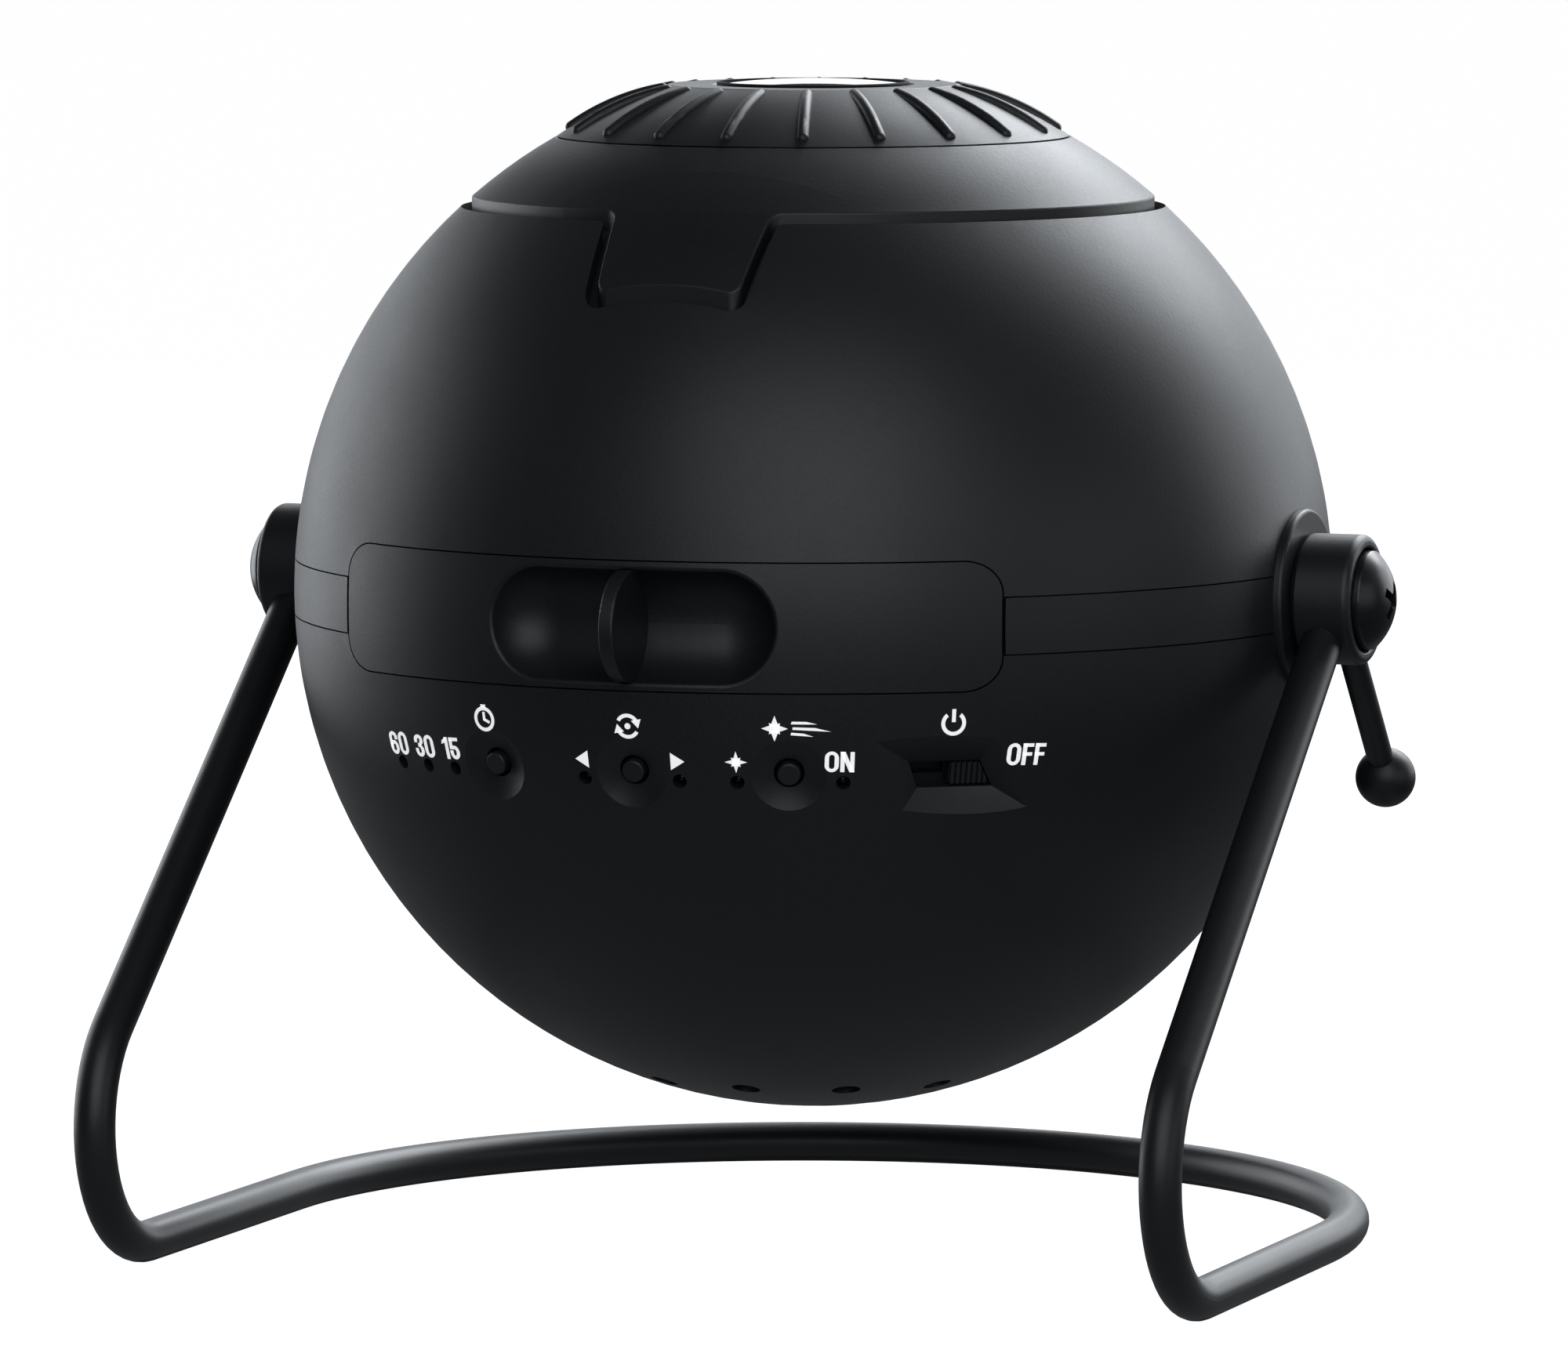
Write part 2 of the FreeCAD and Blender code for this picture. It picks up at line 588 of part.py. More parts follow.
shell_screws = None
for x, y in SCREWS:
    s = cyl(1.3, 12.0 + 12.0, (x, y, -18.0)).fuse(cyl(2.7, 2.2, (x, y, -20.2)))
    s = s.cut(box((x - 2.0, y - 0.35, -20.3), (x + 2.0, y + 0.35, -19.4))).cut(box((x - 0.35, y - 2.0, -20.3), (x + 0.35, y + 2.0, -19.4)))
    shell_screws = s if shell_screws is None else Part.makeCompound([shell_screws, s])
export("shell_screws", shell_screws)

# top cover with its front tab
lid = lid_prism(*COVER_LID)
skin = shell(R, RI - 0.4).common(box((-80, -80, LEDGE_Z + 0.02), (80, 80, 80))).common(cyl(COVER_RIM, 90))
skin = skin.cut(cyl(80, 30, (0, 0, RING_Z - SEAM)))
skin = skin.fuse(cyl(40.0, 1.8, (0, 0, 58.4)).common(ball(R - 1.0)))
skin = skin.cut(cyl(33.0, 5, (0, 0, 60.2))).cut(cyl(16.6, 20, (0, 0, 50)))
tab = shell(R, 69.0).common(lid).common(box((-20, -80, 30), (20, -40, 80))).cut(cyl(80, 30, (0, 0, RING_Z - SEAM)))
cover = skin.fuse(tab)
cover = max(cover.Solids, key=lambda q: q.Volume)
rim = [e for e in cover.Edges if all(abs(v.Point.Length - R) < 2e-3 for v in e.Vertexes) and e.CenterOfMass.z < 55.5 and e.CenterOfMass.z > 40]
for r in (0.35, 0.25, 0.15):
    try:
        t = cover.makeFillet(r, rim)
        if t.isValid() and t.Volume > 0.95 * cover.Volume:
            cover = t
            print("cover rim fillet", r, len(rim))
            break
    except Exception:
        pass
export("top_cover", cover)

# focus ring with grip ribs
mid_r, mid_z = 27.6, 65.95
ring = revolve([("p", sr(RING_Z), RING_Z), ("a", mid_r, mid_z, RING_TOP_R + 0.3, RING_TOP_Z - 0.12), ("a", RING_TOP_R + 0.1, RING_TOP_Z - 0.03, RING_TOP_R - 0.2, RING_TOP_Z),
                ("p", LENS_HOLE + 0.5, RING_TOP_Z - 0.05), ("p", LENS_HOLE, RING_TOP_Z - 0.5), ("p", LENS_HOLE, 60.4), ("p", 15.4, 60.4), ("p", 15.4, 66.2),
                ("p", 20.5, 66.2), ("a", 27.0, 63.9, 32.0, 61.2), ("p", 32.0, 60.4), ("p", 32.8, 60.4), ("p", 32.8, RING_Z)])
RIB_R = 0.85
rib_path = Part.Arc(V(33.0, 0, 62.9), V(mid_r, 0, mid_z + 0.02), V(20.6, 0, 68.12)).toShape()
tan0 = rib_path.tangentAt(rib_path.FirstParameter)
rib0 = Part.Wire([rib_path]).makePipeShell([Part.Wire(Part.makeCircle(RIB_R, V(33.0, 0, 62.9), tan0))], True, False)
rib0 = rib0.fuse(ball(RIB_R, (33.0, 0, 62.9))).fuse(ball(RIB_R, (20.6, 0, 68.12)))
ribs = []
for k in range(RIBS):
    q = rib0.copy()
    q.rotate(V(0, 0, 0), V(0, 0, 1), 360.0 / RIBS * k - 90.0)
    ribs.append(q)
ring = ring.multiFuse(ribs)
ring = max(ring.Solids, key=lambda q: q.Volume)
export("focus_ring", ring)

# lens barrel group
BR = LENS_HOLE - 0.2
barrel = revolve([("p", BR, 24.0), ("p", BR, 69.0), ("a", BR - 0.06, 69.14, BR - 0.2, 69.2), ("p", 12.65, 69.2), ("p", 12.65, 66.0), ("p", 11.0, 66.0), ("p", 11.0, 30.0),
                  ("p", 11.6, 30.0), ("p", 11.6, 24.0)])
export("lens_barrel", barrel)
fl_r = 12.6
dome = 0.7
rs = (fl_r ** 2 + dome ** 2) / (2 * dome)
front = cyl(fl_r, 2.8, (0, 0, 66.05)).fuse(ball(rs, (0, 0, 68.85 + dome - rs)).common(cyl(fl_r, 10, (0, 0, 68.85)))).removeSplitter()
export("front_lens", front)
rear_r = 11.5
rd = 1.6
rs2 = (rear_r ** 2 + rd ** 2) / (2 * rd)
rear = ball(rs2, (0, 0, 27.6 - rs2 + rd)).common(cyl(rear_r, 20, (0, 0, 26.0)))
rear = rear.cut(box((-20, -20, 0), (20, 20, 26.0))).common(cyl(rear_r, 3.9, (0, 0, 26.0)))
export("rear_lens", rear)
export("rear_lens_ring", tube(11.55, 9.5, 1.6, (0, 0, 24.2)))
sleeve = tube(15.0, BR + 0.12, 40.0, (0, 0, 16.0)).fuse(tube(20.0, BR + 0.12, 2.0, (0, 0, 16.0))).removeSplitter()
export("focus_sleeve", sleeve)

# upper deck on four posts
deck = cyl(50.0, 2.0, (0, 0, 14.0)).cut(cyl(13.6, 6, (0, 0, 12)))
deck = deck.common(ball(RI - 1.5))
for x, y in SCREWS:
    deck = deck.cut(cyl(5.4, 20, (x, y, 8))).cut(box((x - 2.0, y, 8), (x + 2.0, 70, 20)))
POSTS = ((43, 16), (43, -16), (-43, 16), (-43, -16))
for x, y in POSTS:
    deck = deck.cut(cyl(1.25, 30, (x, y, 0)))
export("upper_deck", max(deck.Solids, key=lambda q: q.Volume))
export("deck_posts", Part.makeCompound([cyl(2.6, 18.0, (x, y, -4.0)).cut(cyl(1.25, 30, (x, y, -9))) for x, y in POSTS]))
export("deck_screws", Part.makeCompound([cyl(1.2, 9.0, (x, y, 8.5)).fuse(cyl(2.4, 1.5, (x, y, 16.05))).cut(box((x - 2, y - 0.3, 17.0), (x + 2, y + 0.3, 18.0))) for x, y in POSTS]))

# lower chassis plate: carries rails, lamp tube, motor and the control board
chassis = cyl(61.0, 2.0, (0, 0, -6.0)).cut(cyl(22.2, 6, (0, 0, -8)))
chassis = chassis.cut(box((-80, -80, -10), (80, -47.6, 0)))
chassis = chassis.cut(cyl(8.3, 6, (0, 34.4, -8)))
for x, y in SCREWS:
    chassis = chassis.cut(cyl(5.4, 20, (x, y, -12)))
for x, y in POSTS:
    chassis = chassis.cut(cyl(1.2, 20, (x, y, -12)))
chassis = chassis.common(ball(RI - 1.0))
for sx in (1, -1):
    chassis = chassis.cut(box((min(sx * 58, sx * 80), -20, -10), (max(sx * 58, sx * 80), 20, 0)))
chassis = chassis.cut(cyl(2.9, 6, (-27.5, 8.0, -8)))
chassis = max(chassis.Solids, key=lambda q: q.Volume)
export("chassis_plate", chassis)
rails = []
for sx in (1, -1):
    a = box((min(sx * 34.3, sx * 36.6), -56, -4.0), (max(sx * 34.3, sx * 36.6), 48.6, 4.4))
    b = box((min(sx * 31.6, sx * 36.6), -56, -4.0), (max(sx * 31.6, sx * 36.6), 48.6, -1.7))
    c = box((min(sx * 32.6, sx * 36.6), -56, 2.9), (max(sx * 32.6, sx * 36.6), 48.6, 4.4))
    rails.append(a.fuse(b).fuse(c).removeSplitter())
export("tray_rails", Part.makeCompound(rails))

# drawer and star disc
export("tray_front", tray_front())
export("tray_frame", tray_frame())
carrier = gear_face(CARRIER_TEETH, GEAR_M, 0.9).extrude(V(0, 0, 2.3))
carrier = carrier.fuse(cyl(27.0, 2.4, (0, 0, -1.4))).cut(cyl(23.4, 10, (0, 0, -4))).cut(cyl(25.1, 4, (0, 0, 1.9)))
carrier = max(carrier.Solids, key=lambda q: q.Volume)
export("disc_carrier", carrier)
export("star_disc", cyl(25.0, 0.6, (0, 0, 1.9)))
clip = tube(25.05, 23.6, 0.6, (0, 0, 2.5)).cut(box((-3, 10, 0), (3, 40, 10)))
export("disc_clip", clip)

# drive
PY = GEAR_M * (CARRIER_TEETH + PINION_TEETH) / 2 + 0.03
pin = gear_face(PINION_TEETH, GEAR_M, 0.9).extrude(V(0, 0, 2.3))
pin.rotate(V(0, 0, 0), V(0, 0, 1), 0.0)
# a carrier tooth points to +Y or a gap does, so the pinion turns to match
carrier_phase = (90.0 / (360.0 / CARRIER_TEETH)) % 1.0
pin_at = -90.0 - (0.5 - (0.0 if carrier_phase < 0.25 or carrier_phase > 0.75 else 0.5)) * (360.0 / PINION_TEETH)
pin.rotate(V(0, 0, 0), V(0, 0, 1), pin_at)
pin = pin.fuse(cyl(2.2, 1.0, (0, 0, 3.2))).cut(cyl(1.0, 20, (0, 0, -5)))
pin.translate(V(0, PY, 0))
export("drive_pinion", max(pin.Solids, key=lambda q: q.Volume))
shaft = cyl(1.0, 8.6, (0, PY, -4.6))
export("drive_shaft", shaft)
motor = cyl(8.0, 17.0, (0, PY, -22.0)).fuse(cyl(3.0, 0.6, (0, PY, -5.0))).fuse(tube(11.0, 7.9, 1.2, (0, PY, -7.2)))
motor = motor.cut(cyl(1.05, 1.0, (0, PY, -5.0)).fuse(cyl(1.05, 0.4, (0, PY, -5.0))))
motor = motor.removeSplitter()
export("drive_motor", max(motor.Solids, key=lambda q: q.Volume))

# lamp
lamp_tube = tube(22.0, 20.4, 22.0, (0, 0, -28.0)).fuse(tube(24.5, 20.4, 1.2, (0, 0, -7.2))).removeSplitter()
lamp_tube = lamp_tube.cut(cyl(11.2, 5, (0, PY, -10)))
export("lamp_tube", max(lamp_tube.Solids, key=lambda q: q.Volume))
cr, cdm = 20.3, 6.0
crs = (cr ** 2 + cdm ** 2) / (2 * cdm)
cond = cyl(cr, 1.6, (0, 0, -17.0)).fuse(ball(crs, (0, 0, -15.4 + cdm - crs)).common(cyl(cr, 20, (0, 0, -15.4)))).removeSplitter()
export("condenser_lens", cond)
export("lamp_board", cyl(20.4, 1.6, (0, 0, -29.6)))
led = cyl(2.6, 0.8, (0, 0, -28.0)).fuse(ball(2.2, (0, 0, -27.2)).common(cyl(2.3, 5, (0, 0, -27.2)))).removeSplitter()
export("lamp_led", led)
sink = cyl(20.4, 3.0, (0, 0, -32.6))
for k in range(-3, 4):
    w = math.sqrt(19.5 ** 2 - (k * 5.4) ** 2)
    sink = sink.fuse(box((k * 5.4 - 0.8, -w, -46.0), (k * 5.4 + 0.8, w, -32.6)))
export("heat_sink", sink.removeSplitter())

# control board with switches and indicators
board = box((-46, BOARD_Y, -30.0), (46, BOARD_Y + 1.6, -7.4)).common(ball(RI - 1.2))
front_half = box((-80, -80, -60), (80, BOARD_Y, 40))
export("control_board", max(board.Solids, key=lambda q: q.Volume))
tacts = []
for lon in BTN_LON:
    p = radial_placement(lon, BTN_LAT)
    b = Part.makeBox(5.6, 5.6, 16.0, V(-2.8, -2.8, 41.0))
    t = placed(b, p).fuse(radial_cyl(1.4, 55.0, 59.3, lon, BTN_LAT)).common(front_half)
    tacts.append(max(t.Solids, key=lambda q: q.Volume))
export("tact_switches", Part.makeCompound(tacts))
leds = []
for lon in LED_LON:
    body = radial_cyl(LED_R, 40.0, LED_TOP - 0.6, lon, LED_LAT)
    n = radial(lon, LED_LAT)
    tip = ball(LED_R, tuple(n * (LED_TOP - LED_R))).common(radial_cyl(LED_R, LED_TOP - LED_R, LED_TOP + 1, lon, LED_LAT))
    s = radial_cyl(LED_R, 40.0, LED_TOP - LED_R, lon, LED_LAT).fuse(tip).common(front_half)
    for t in tacts:
        s = s.cut(t)
    leds.append(max(s.Solids, key=lambda q: q.Volume))
export("indicator_leds", Part.makeCompound(leds))
for lon, name in zip(BTN_LON, ("timer_button", "motion_button", "meteor_button")):
    c = radial_cyl(BTN_R, 60.0, BTN_TOP, lon, BTN_LAT)
    c = try_fillet(c, 0.3, lambda e: abs(e.CenterOfMass.Length - BTN_TOP) < 1e-3, "cap")
    c = c.fuse(radial_cyl(2.8, 65.6, 66.8, lon, BTN_LAT)).removeSplitter()
    export(name, c)

# power slide switch behind the funnel
P = radial_placement(SW_LON, SW_LAT)
KT = fun_bot - 0.15          # top of the knob's ribs
kn = box((1.0, -2.65, KT - 2.6), (6.9, 0.35, KT - 0.45))
for k in range(8):
    kn = kn.fuse(box((1.15 + k * 0.74, -2.65, KT - 0.5), (1.15 + k * 0.74 + 0.44, 0.35, KT)))
side = [(-7.0, 0.7), (4.75, 0.7), (6.6, -3.0), (-7.0, -3.0)]
kn = kn.common(loft_quad(side, KT - 3.0, side, KT + 1.0))
kn = kn.fuse(box((0.8, -2.0, KT - 4.2), (5.2, -0.1, KT - 2.6)))
kn = kn.removeSplitter()
kn = max(kn.Solids, key=lambda q: q.Volume)
export("power_slider", placed(kn, P))
sw = box((-6.6, -4.6, KT - 9.0), (8.2, 2.4, KT - 2.9))
sw = sw.cut(box((-3.9, -2.1, KT - 4.5), (5.4, 0.0, KT)))
sw = placed(sw, P).common(front_half)
sw = sw.cut(lo)
for t in leds:
    sw = sw.cut(t)
export("slide_switch", max(sw.Solids, key=lambda q: q.Volume))

# power inlet
jn = radial(180.0, JACK_LAT)
jack = radial_cyl(5.15, 58.5, R - 0.15, 180.0, JACK_LAT).fuse(radial_cyl(6.6, 58.5, 66.6, 180.0, JACK_LAT)).common(ball(R - 0.05))
jack = jack.cut(radial_cyl(2.85, 61.0, 80, 180.0, JACK_LAT)).fuse(radial_cyl(1.0, 60.5, 69.0, 180.0, JACK_LAT)).removeSplitter()
export("power_inlet", max(jack.Solids, key=lambda q: q.Volume))

# meteor lamp: small lamp beside the lamp tube that lights the disc's edge
ml = cyl(2.5, 6.0, (-27.5, 8.0, -14.0)).fuse(ball(2.5, (-27.5, 8.0, -8.0)).common(cyl(2.5, 5, (-27.5, 8.0, -8.0)))).fuse(cyl(3.0, 1.0, (-27.5, 8.0, -15.0))).removeSplitter()
export("meteor_lamp", ml)
mb = box((-32, 2.0, -16.6), (-23.2, 14.0, -15.0)).fuse(box((-32, 2.0, -16.6), (-30.8, 14.0, -6.0))).removeSplitter()
export("meteor_bracket", mb)
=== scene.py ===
import bpy
import bmesh
import math
from mathutils import Vector, Matrix
from mathutils.geometry import tessellate_polygon


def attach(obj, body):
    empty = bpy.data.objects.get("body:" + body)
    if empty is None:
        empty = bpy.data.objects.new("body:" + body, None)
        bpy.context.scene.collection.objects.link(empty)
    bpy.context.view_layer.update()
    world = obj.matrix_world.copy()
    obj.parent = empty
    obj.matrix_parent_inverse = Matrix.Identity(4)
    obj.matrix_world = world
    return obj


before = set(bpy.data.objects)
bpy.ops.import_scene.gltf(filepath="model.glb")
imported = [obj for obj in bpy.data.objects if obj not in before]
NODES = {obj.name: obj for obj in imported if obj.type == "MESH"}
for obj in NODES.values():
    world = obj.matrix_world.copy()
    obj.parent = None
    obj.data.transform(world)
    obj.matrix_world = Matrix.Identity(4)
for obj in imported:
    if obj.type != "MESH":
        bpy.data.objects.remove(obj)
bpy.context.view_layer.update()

MM = 0.001
CENTRE = Vector((0.0, 0.00255, 0.0891))     # centre of the globe
R = 0.071                                   # its radius
scene = bpy.context.scene


# ------------------------------------------------------------------ materials
def new_mat(name):
    m = bpy.data.materials.new(name)
    m.use_nodes = True
    nt = m.node_tree
    nt.nodes.clear()
    out = nt.nodes.new("ShaderNodeOutputMaterial")
    bsdf = nt.nodes.new("ShaderNodeBsdfPrincipled")
    nt.links.new(bsdf.outputs["BSDF"], out.inputs["Surface"])
    tex = nt.nodes.new("ShaderNodeTexCoord")
    return m, nt, bsdf, tex


def noise(nt, tex, scale, detail=3.0, rough=0.5):
    n = nt.nodes.new("ShaderNodeTexNoise")
    n.inputs["Scale"].default_value = scale
    n.inputs["Detail"].default_value = detail
    n.inputs["Roughness"].default_value = rough
    nt.links.new(tex.outputs["Object"], n.inputs["Vector"])
    return n


def ramp(nt, src, lo, hi, a, b):
    r = nt.nodes.new("ShaderNodeMapRange")
    r.inputs["From Min"].default_value = lo
    r.inputs["From Max"].default_value = hi
    r.inputs["To Min"].default_value = a
    r.inputs["To Max"].default_value = b
    nt.links.new(src, r.inputs["Value"])
    return r.outputs["Result"]


def colour_mix(nt, src, c0, c1, lo=0.3, hi=0.7):
    r = nt.nodes.new("ShaderNodeValToRGB")
    r.color_ramp.elements[0].position = lo
    r.color_ramp.elements[1].position = hi
    r.color_ramp.elements[0].color = (*c0, 1)
    r.color_ramp.elements[1].color = (*c1, 1)
    nt.links.new(src, r.inputs["Fac"])
    return r.outputs["Color"]


def bump(nt, height, strength, distance, prev=None):
    b = nt.nodes.new("ShaderNodeBump")
    b.inputs["Strength"].default_value = strength
    b.inputs["Distance"].default_value = distance
    nt.links.new(height, b.inputs["Height"])
    if prev is not None:
        nt.links.new(prev, b.inputs["Normal"])
    return b.outputs["Normal"]


def moulded(name, c0, c1, r0, r1, grain=2600.0, grain_h=0.000012, grain_s=0.55, specular=0.5, coat=0.0, coat_rough=0.2):
    """Moulded plastic: spark-eroded grain, faint cloudiness in gloss and colour."""
    m, nt, b, tex = new_mat(name)
    cloud = noise(nt, tex, 45.0, 4.0)
    fine = noise(nt, tex, grain, 2.0, 0.6)
    spk = nt.nodes.new("ShaderNodeTexVoronoi")
    spk.inputs["Scale"].default_value = grain * 0.7
    nt.links.new(tex.outputs["Object"], spk.inputs["Vector"])
    nt.links.new(colour_mix(nt, fine.outputs["Fac"], c0, c1), b.inputs["Base Color"])
    rr = ramp(nt, cloud.outputs["Fac"], 0.3, 0.7, r0, r1)
    rv = ramp(nt, fine.outputs["Fac"], 0.3, 0.7, -0.03, 0.03)
    add = nt.nodes.new("ShaderNodeMath")
    add.operation = "ADD"
    nt.links.new(rr, add.inputs[0])
    nt.links.new(rv, add.inputs[1])
    nt.links.new(add.outputs[0], b.inputs["Roughness"])
    n1 = bump(nt, spk.outputs["Distance"], grain_s, grain_h)
    n2 = bump(nt, fine.outputs["Fac"], grain_s, grain_h, n1)
    nt.links.new(n2, b.inputs["Normal"])
    b.inputs["Specular IOR Level"].default_value = specular
    if coat:
        b.inputs["Coat Weight"].default_value = coat
        b.inputs["Coat Roughness"].default_value = coat_rough
    return m


def metal(name, c0, c1, rough, brush=(1, 1, 1), scale=900.0, height=0.000006, strength=0.4):
    m, nt, b, tex = new_mat(name)
    mp = nt.nodes.new("ShaderNodeMapping")
    mp.inputs["Scale"].default_value = brush
    nt.links.new(tex.outputs["Object"], mp.inputs["Vector"])
    n = nt.nodes.new("ShaderNodeTexNoise")
    n.inputs["Scale"].default_value = scale
    n.inputs["Detail"].default_value = 4.0
    nt.links.new(mp.outputs["Vector"], n.inputs["Vector"])
    nt.links.new(colour_mix(nt, n.outputs["Fac"], c0, c1), b.inputs["Base Color"])
    nt.links.new(ramp(nt, n.outputs["Fac"], 0.3, 0.7, rough - 0.06, rough + 0.06), b.inputs["Roughness"])
    nt.links.new(bump(nt, n.outputs["Fac"], strength, height), b.inputs["Normal"])
    b.inputs["Metallic"].default_value = 1.0
    return m


def glass(name, tint, ior, rough, coat=0.0, coat_ior=1.5):
    m, nt, b, tex = new_mat(name)
    n = noise(nt, tex, 120.0, 3.0)
    nt.links.new(colour_mix(nt, n.outputs["Fac"], tuple(0.985 * t for t in tint), tint), b.inputs["Base Color"])
    nt.links.new(ramp(nt, n.outputs["Fac"], 0.35, 0.7, rough, rough + 0.02), b.inputs["Roughness"])
    b.inputs["Transmission Weight"].default_value = 1.0
    b.inputs["IOR"].default_value = ior
    if coat:
        b.inputs["Coat Weight"].default_value = coat
        b.inputs["Coat IOR"].default_value = coat_ior
        b.inputs["Coat Roughness"].default_value = 0.03
    return m


BODY = moulded("black_shell", (0.0070, 0.0075, 0.0088), (0.0100, 0.0106, 0.0124), 0.43, 0.48, specular=0.5)
INNER = moulded("black_inner", (0.012, 0.0125, 0.014), (0.018, 0.0185, 0.020), 0.55, 0.65, grain=1400.0, specular=0.4)
RING = moulded("black_ring", (0.0080, 0.0085, 0.0098), (0.0110, 0.0116, 0.0132), 0.43, 0.48, grain=3000.0, specular=0.5)
COLLAR = moulded("black_collar", (0.0070, 0.0074, 0.0084), (0.0100, 0.0105, 0.0120), 0.42, 0.47, grain=3000.0, grain_h=0.000006)
HEAD = moulded("black_screw", (0.0060, 0.0063, 0.0070), (0.0085, 0.0090, 0.0100), 0.30, 0.35, grain=1800.0, grain_h=0.000003, grain_s=0.3)
KEYS = moulded("black_keys", (0.0075, 0.0079, 0.0090), (0.0105, 0.0110, 0.0125), 0.46, 0.52, grain=3200.0, grain_h=0.000006)
GLOSS = moulded("black_lamp", (0.004, 0.004, 0.0045), (0.006, 0.006, 0.0068), 0.06, 0.10, grain=600.0, grain_h=0.0000005, grain_s=0.1)
BAFFLE = moulded("black_baffle", (0.0035, 0.0036, 0.0040), (0.006, 0.006, 0.0066), 0.72, 0.82, grain=2200.0, specular=0.25)
WHITE = moulded("white_plastic", (0.74, 0.74, 0.72), (0.82, 0.82, 0.80), 0.42, 0.50, grain=1800.0, grain_h=0.000006)


def steel_rod():
    """Powder-coated rod: fine orange peel under a soft satin sheen."""
    m, nt, b, tex = new_mat("black_rod")
    peel = noise(nt, tex, 900.0, 2.0, 0.4)
    fine = noise(nt, tex, 3600.0, 2.0, 0.6)
    cloud = noise(nt, tex, 60.0, 3.0)
    nt.links.new(colour_mix(nt, fine.outputs["Fac"], (0.0078, 0.0082, 0.0092), (0.0110, 0.0115, 0.0130)), b.inputs["Base Color"])
    nt.links.new(ramp(nt, cloud.outputs["Fac"], 0.3, 0.7, 0.37, 0.43), b.inputs["Roughness"])
    n1 = bump(nt, peel.outputs["Fac"], 0.35, 0.00002)
    nt.links.new(bump(nt, fine.outputs["Fac"], 0.3, 0.000005, n1), b.inputs["Normal"])
    return m


ROD = steel_rod()
STEEL = metal("zinc_steel", (0.48, 0.49, 0.51), (0.60, 0.61, 0.63), 0.32)
ALU = metal("satin_aluminium", (0.60, 0.61, 0.63), (0.70, 0.71, 0.73), 0.36, brush=(1, 1, 12))
BRASS = metal("turned_brass", (0.62, 0.44, 0.18), (0.74, 0.56, 0.26), 0.28, brush=(1, 1, 20))
LENS = glass("coated_lens", (0.93, 0.95, 1.0), 1.62, 0.02, coat=1.0, coat_ior=1.8)
CLEAR = glass("clear_lens", (0.96, 0.98, 1.0), 1.52, 0.02)


def board_mat():
    m, nt, b, tex = new_mat("circuit_board")
    v = nt.nodes.new("ShaderNodeTexVoronoi")
    v.distance = "MANHATTAN"
    v.inputs["Scale"].default_value = 260.0
    nt.links.new(tex.outputs["Object"], v.inputs["Vector"])
    nt.links.new(colour_mix(nt, v.outputs["Distance"], (0.020, 0.11, 0.050), (0.012, 0.065, 0.030), 0.30, 0.36), b.inputs["Base Color"])
    nt.links.new(ramp(nt, v.outputs["Distance"], 0.2, 0.5, 0.30, 0.42), b.inputs["Roughness"])
    nt.links.new(bump(nt, v.outputs["Distance"], 0.3, 0.00003), b.inputs["Normal"])
    return m


BOARD = board_mat()


def star_film():
    """Dark film with scattered clear points, thickest along one hazy band."""
    m, nt, b, tex = new_mat("star_film")
    v = nt.nodes.new("ShaderNodeTexVoronoi")
    v.inputs["Scale"].default_value = 650.0
    nt.links.new(tex.outputs["Object"], v.inputs["Vector"])
    big = nt.nodes.new("ShaderNodeTexVoronoi")
    big.inputs["Scale"].default_value = 210.0
    nt.links.new(tex.outputs["Object"], big.inputs["Vector"])
    haze = noise(nt, tex, 70.0, 4.0)
    a = ramp(nt, v.outputs["Distance"], 0.10, 0.05, 0.0, 0.55)
    c = ramp(nt, big.outputs["Distance"], 0.08, 0.05, 0.0, 1.0)
    mx = nt.nodes.new("ShaderNodeMath"); mx.operation = "MAXIMUM"
    nt.links.new(a, mx.inputs[0]); nt.links.new(c, mx.inputs[1])
    mul = nt.nodes.new("ShaderNodeMath"); mul.operation = "MULTIPLY"
    nt.links.new(mx.outputs[0], mul.inputs[0])
    nt.links.new(ramp(nt, haze.outputs["Fac"], 0.35, 0.65, 0.25, 1.0), mul.inputs[1])
    nt.links.new(colour_mix(nt, mul.outputs[0], (0.010, 0.011, 0.018), (0.80, 0.84, 0.95), 0.02, 0.9), b.inputs["Base Color"])
    nt.links.new(ramp(nt, haze.outputs["Fac"], 0.3, 0.7, 0.08, 0.14), b.inputs["Roughness"])
    b.inputs["Coat Weight"].default_value = 0.6
    b.inputs["Coat Roughness"].default_value = 0.05
    return m


FILM = star_film()


def glowing_print_mat():
    """Pad-printed white ink: slightly uneven cover, low sheen, with a painted glow from emission that makes the print
    brighter than the lamps alone would.
    """
    m, nt, b, tex = new_mat("white_print_painted_glow")
    n = noise(nt, tex, 1800.0, 4.0)
    nt.links.new(colour_mix(nt, n.outputs["Fac"], (0.84, 0.845, 0.86), (0.92, 0.925, 0.94)), b.inputs["Base Color"])
    nt.links.new(ramp(nt, n.outputs["Fac"], 0.3, 0.7, 0.50, 0.60), b.inputs["Roughness"])
    nt.links.new(bump(nt, n.outputs["Fac"], 0.3, 0.000004), b.inputs["Normal"])
    # painted glow: the ink emits light though it is no lamp, so the markings read brighter
    b.inputs["Emission Color"].default_value = (1.0, 1.0, 1.0, 1.0)
    b.inputs["Emission Strength"].default_value = 0.55
    return m


INK_WITH_PAINTED_GLOW = glowing_print_mat()

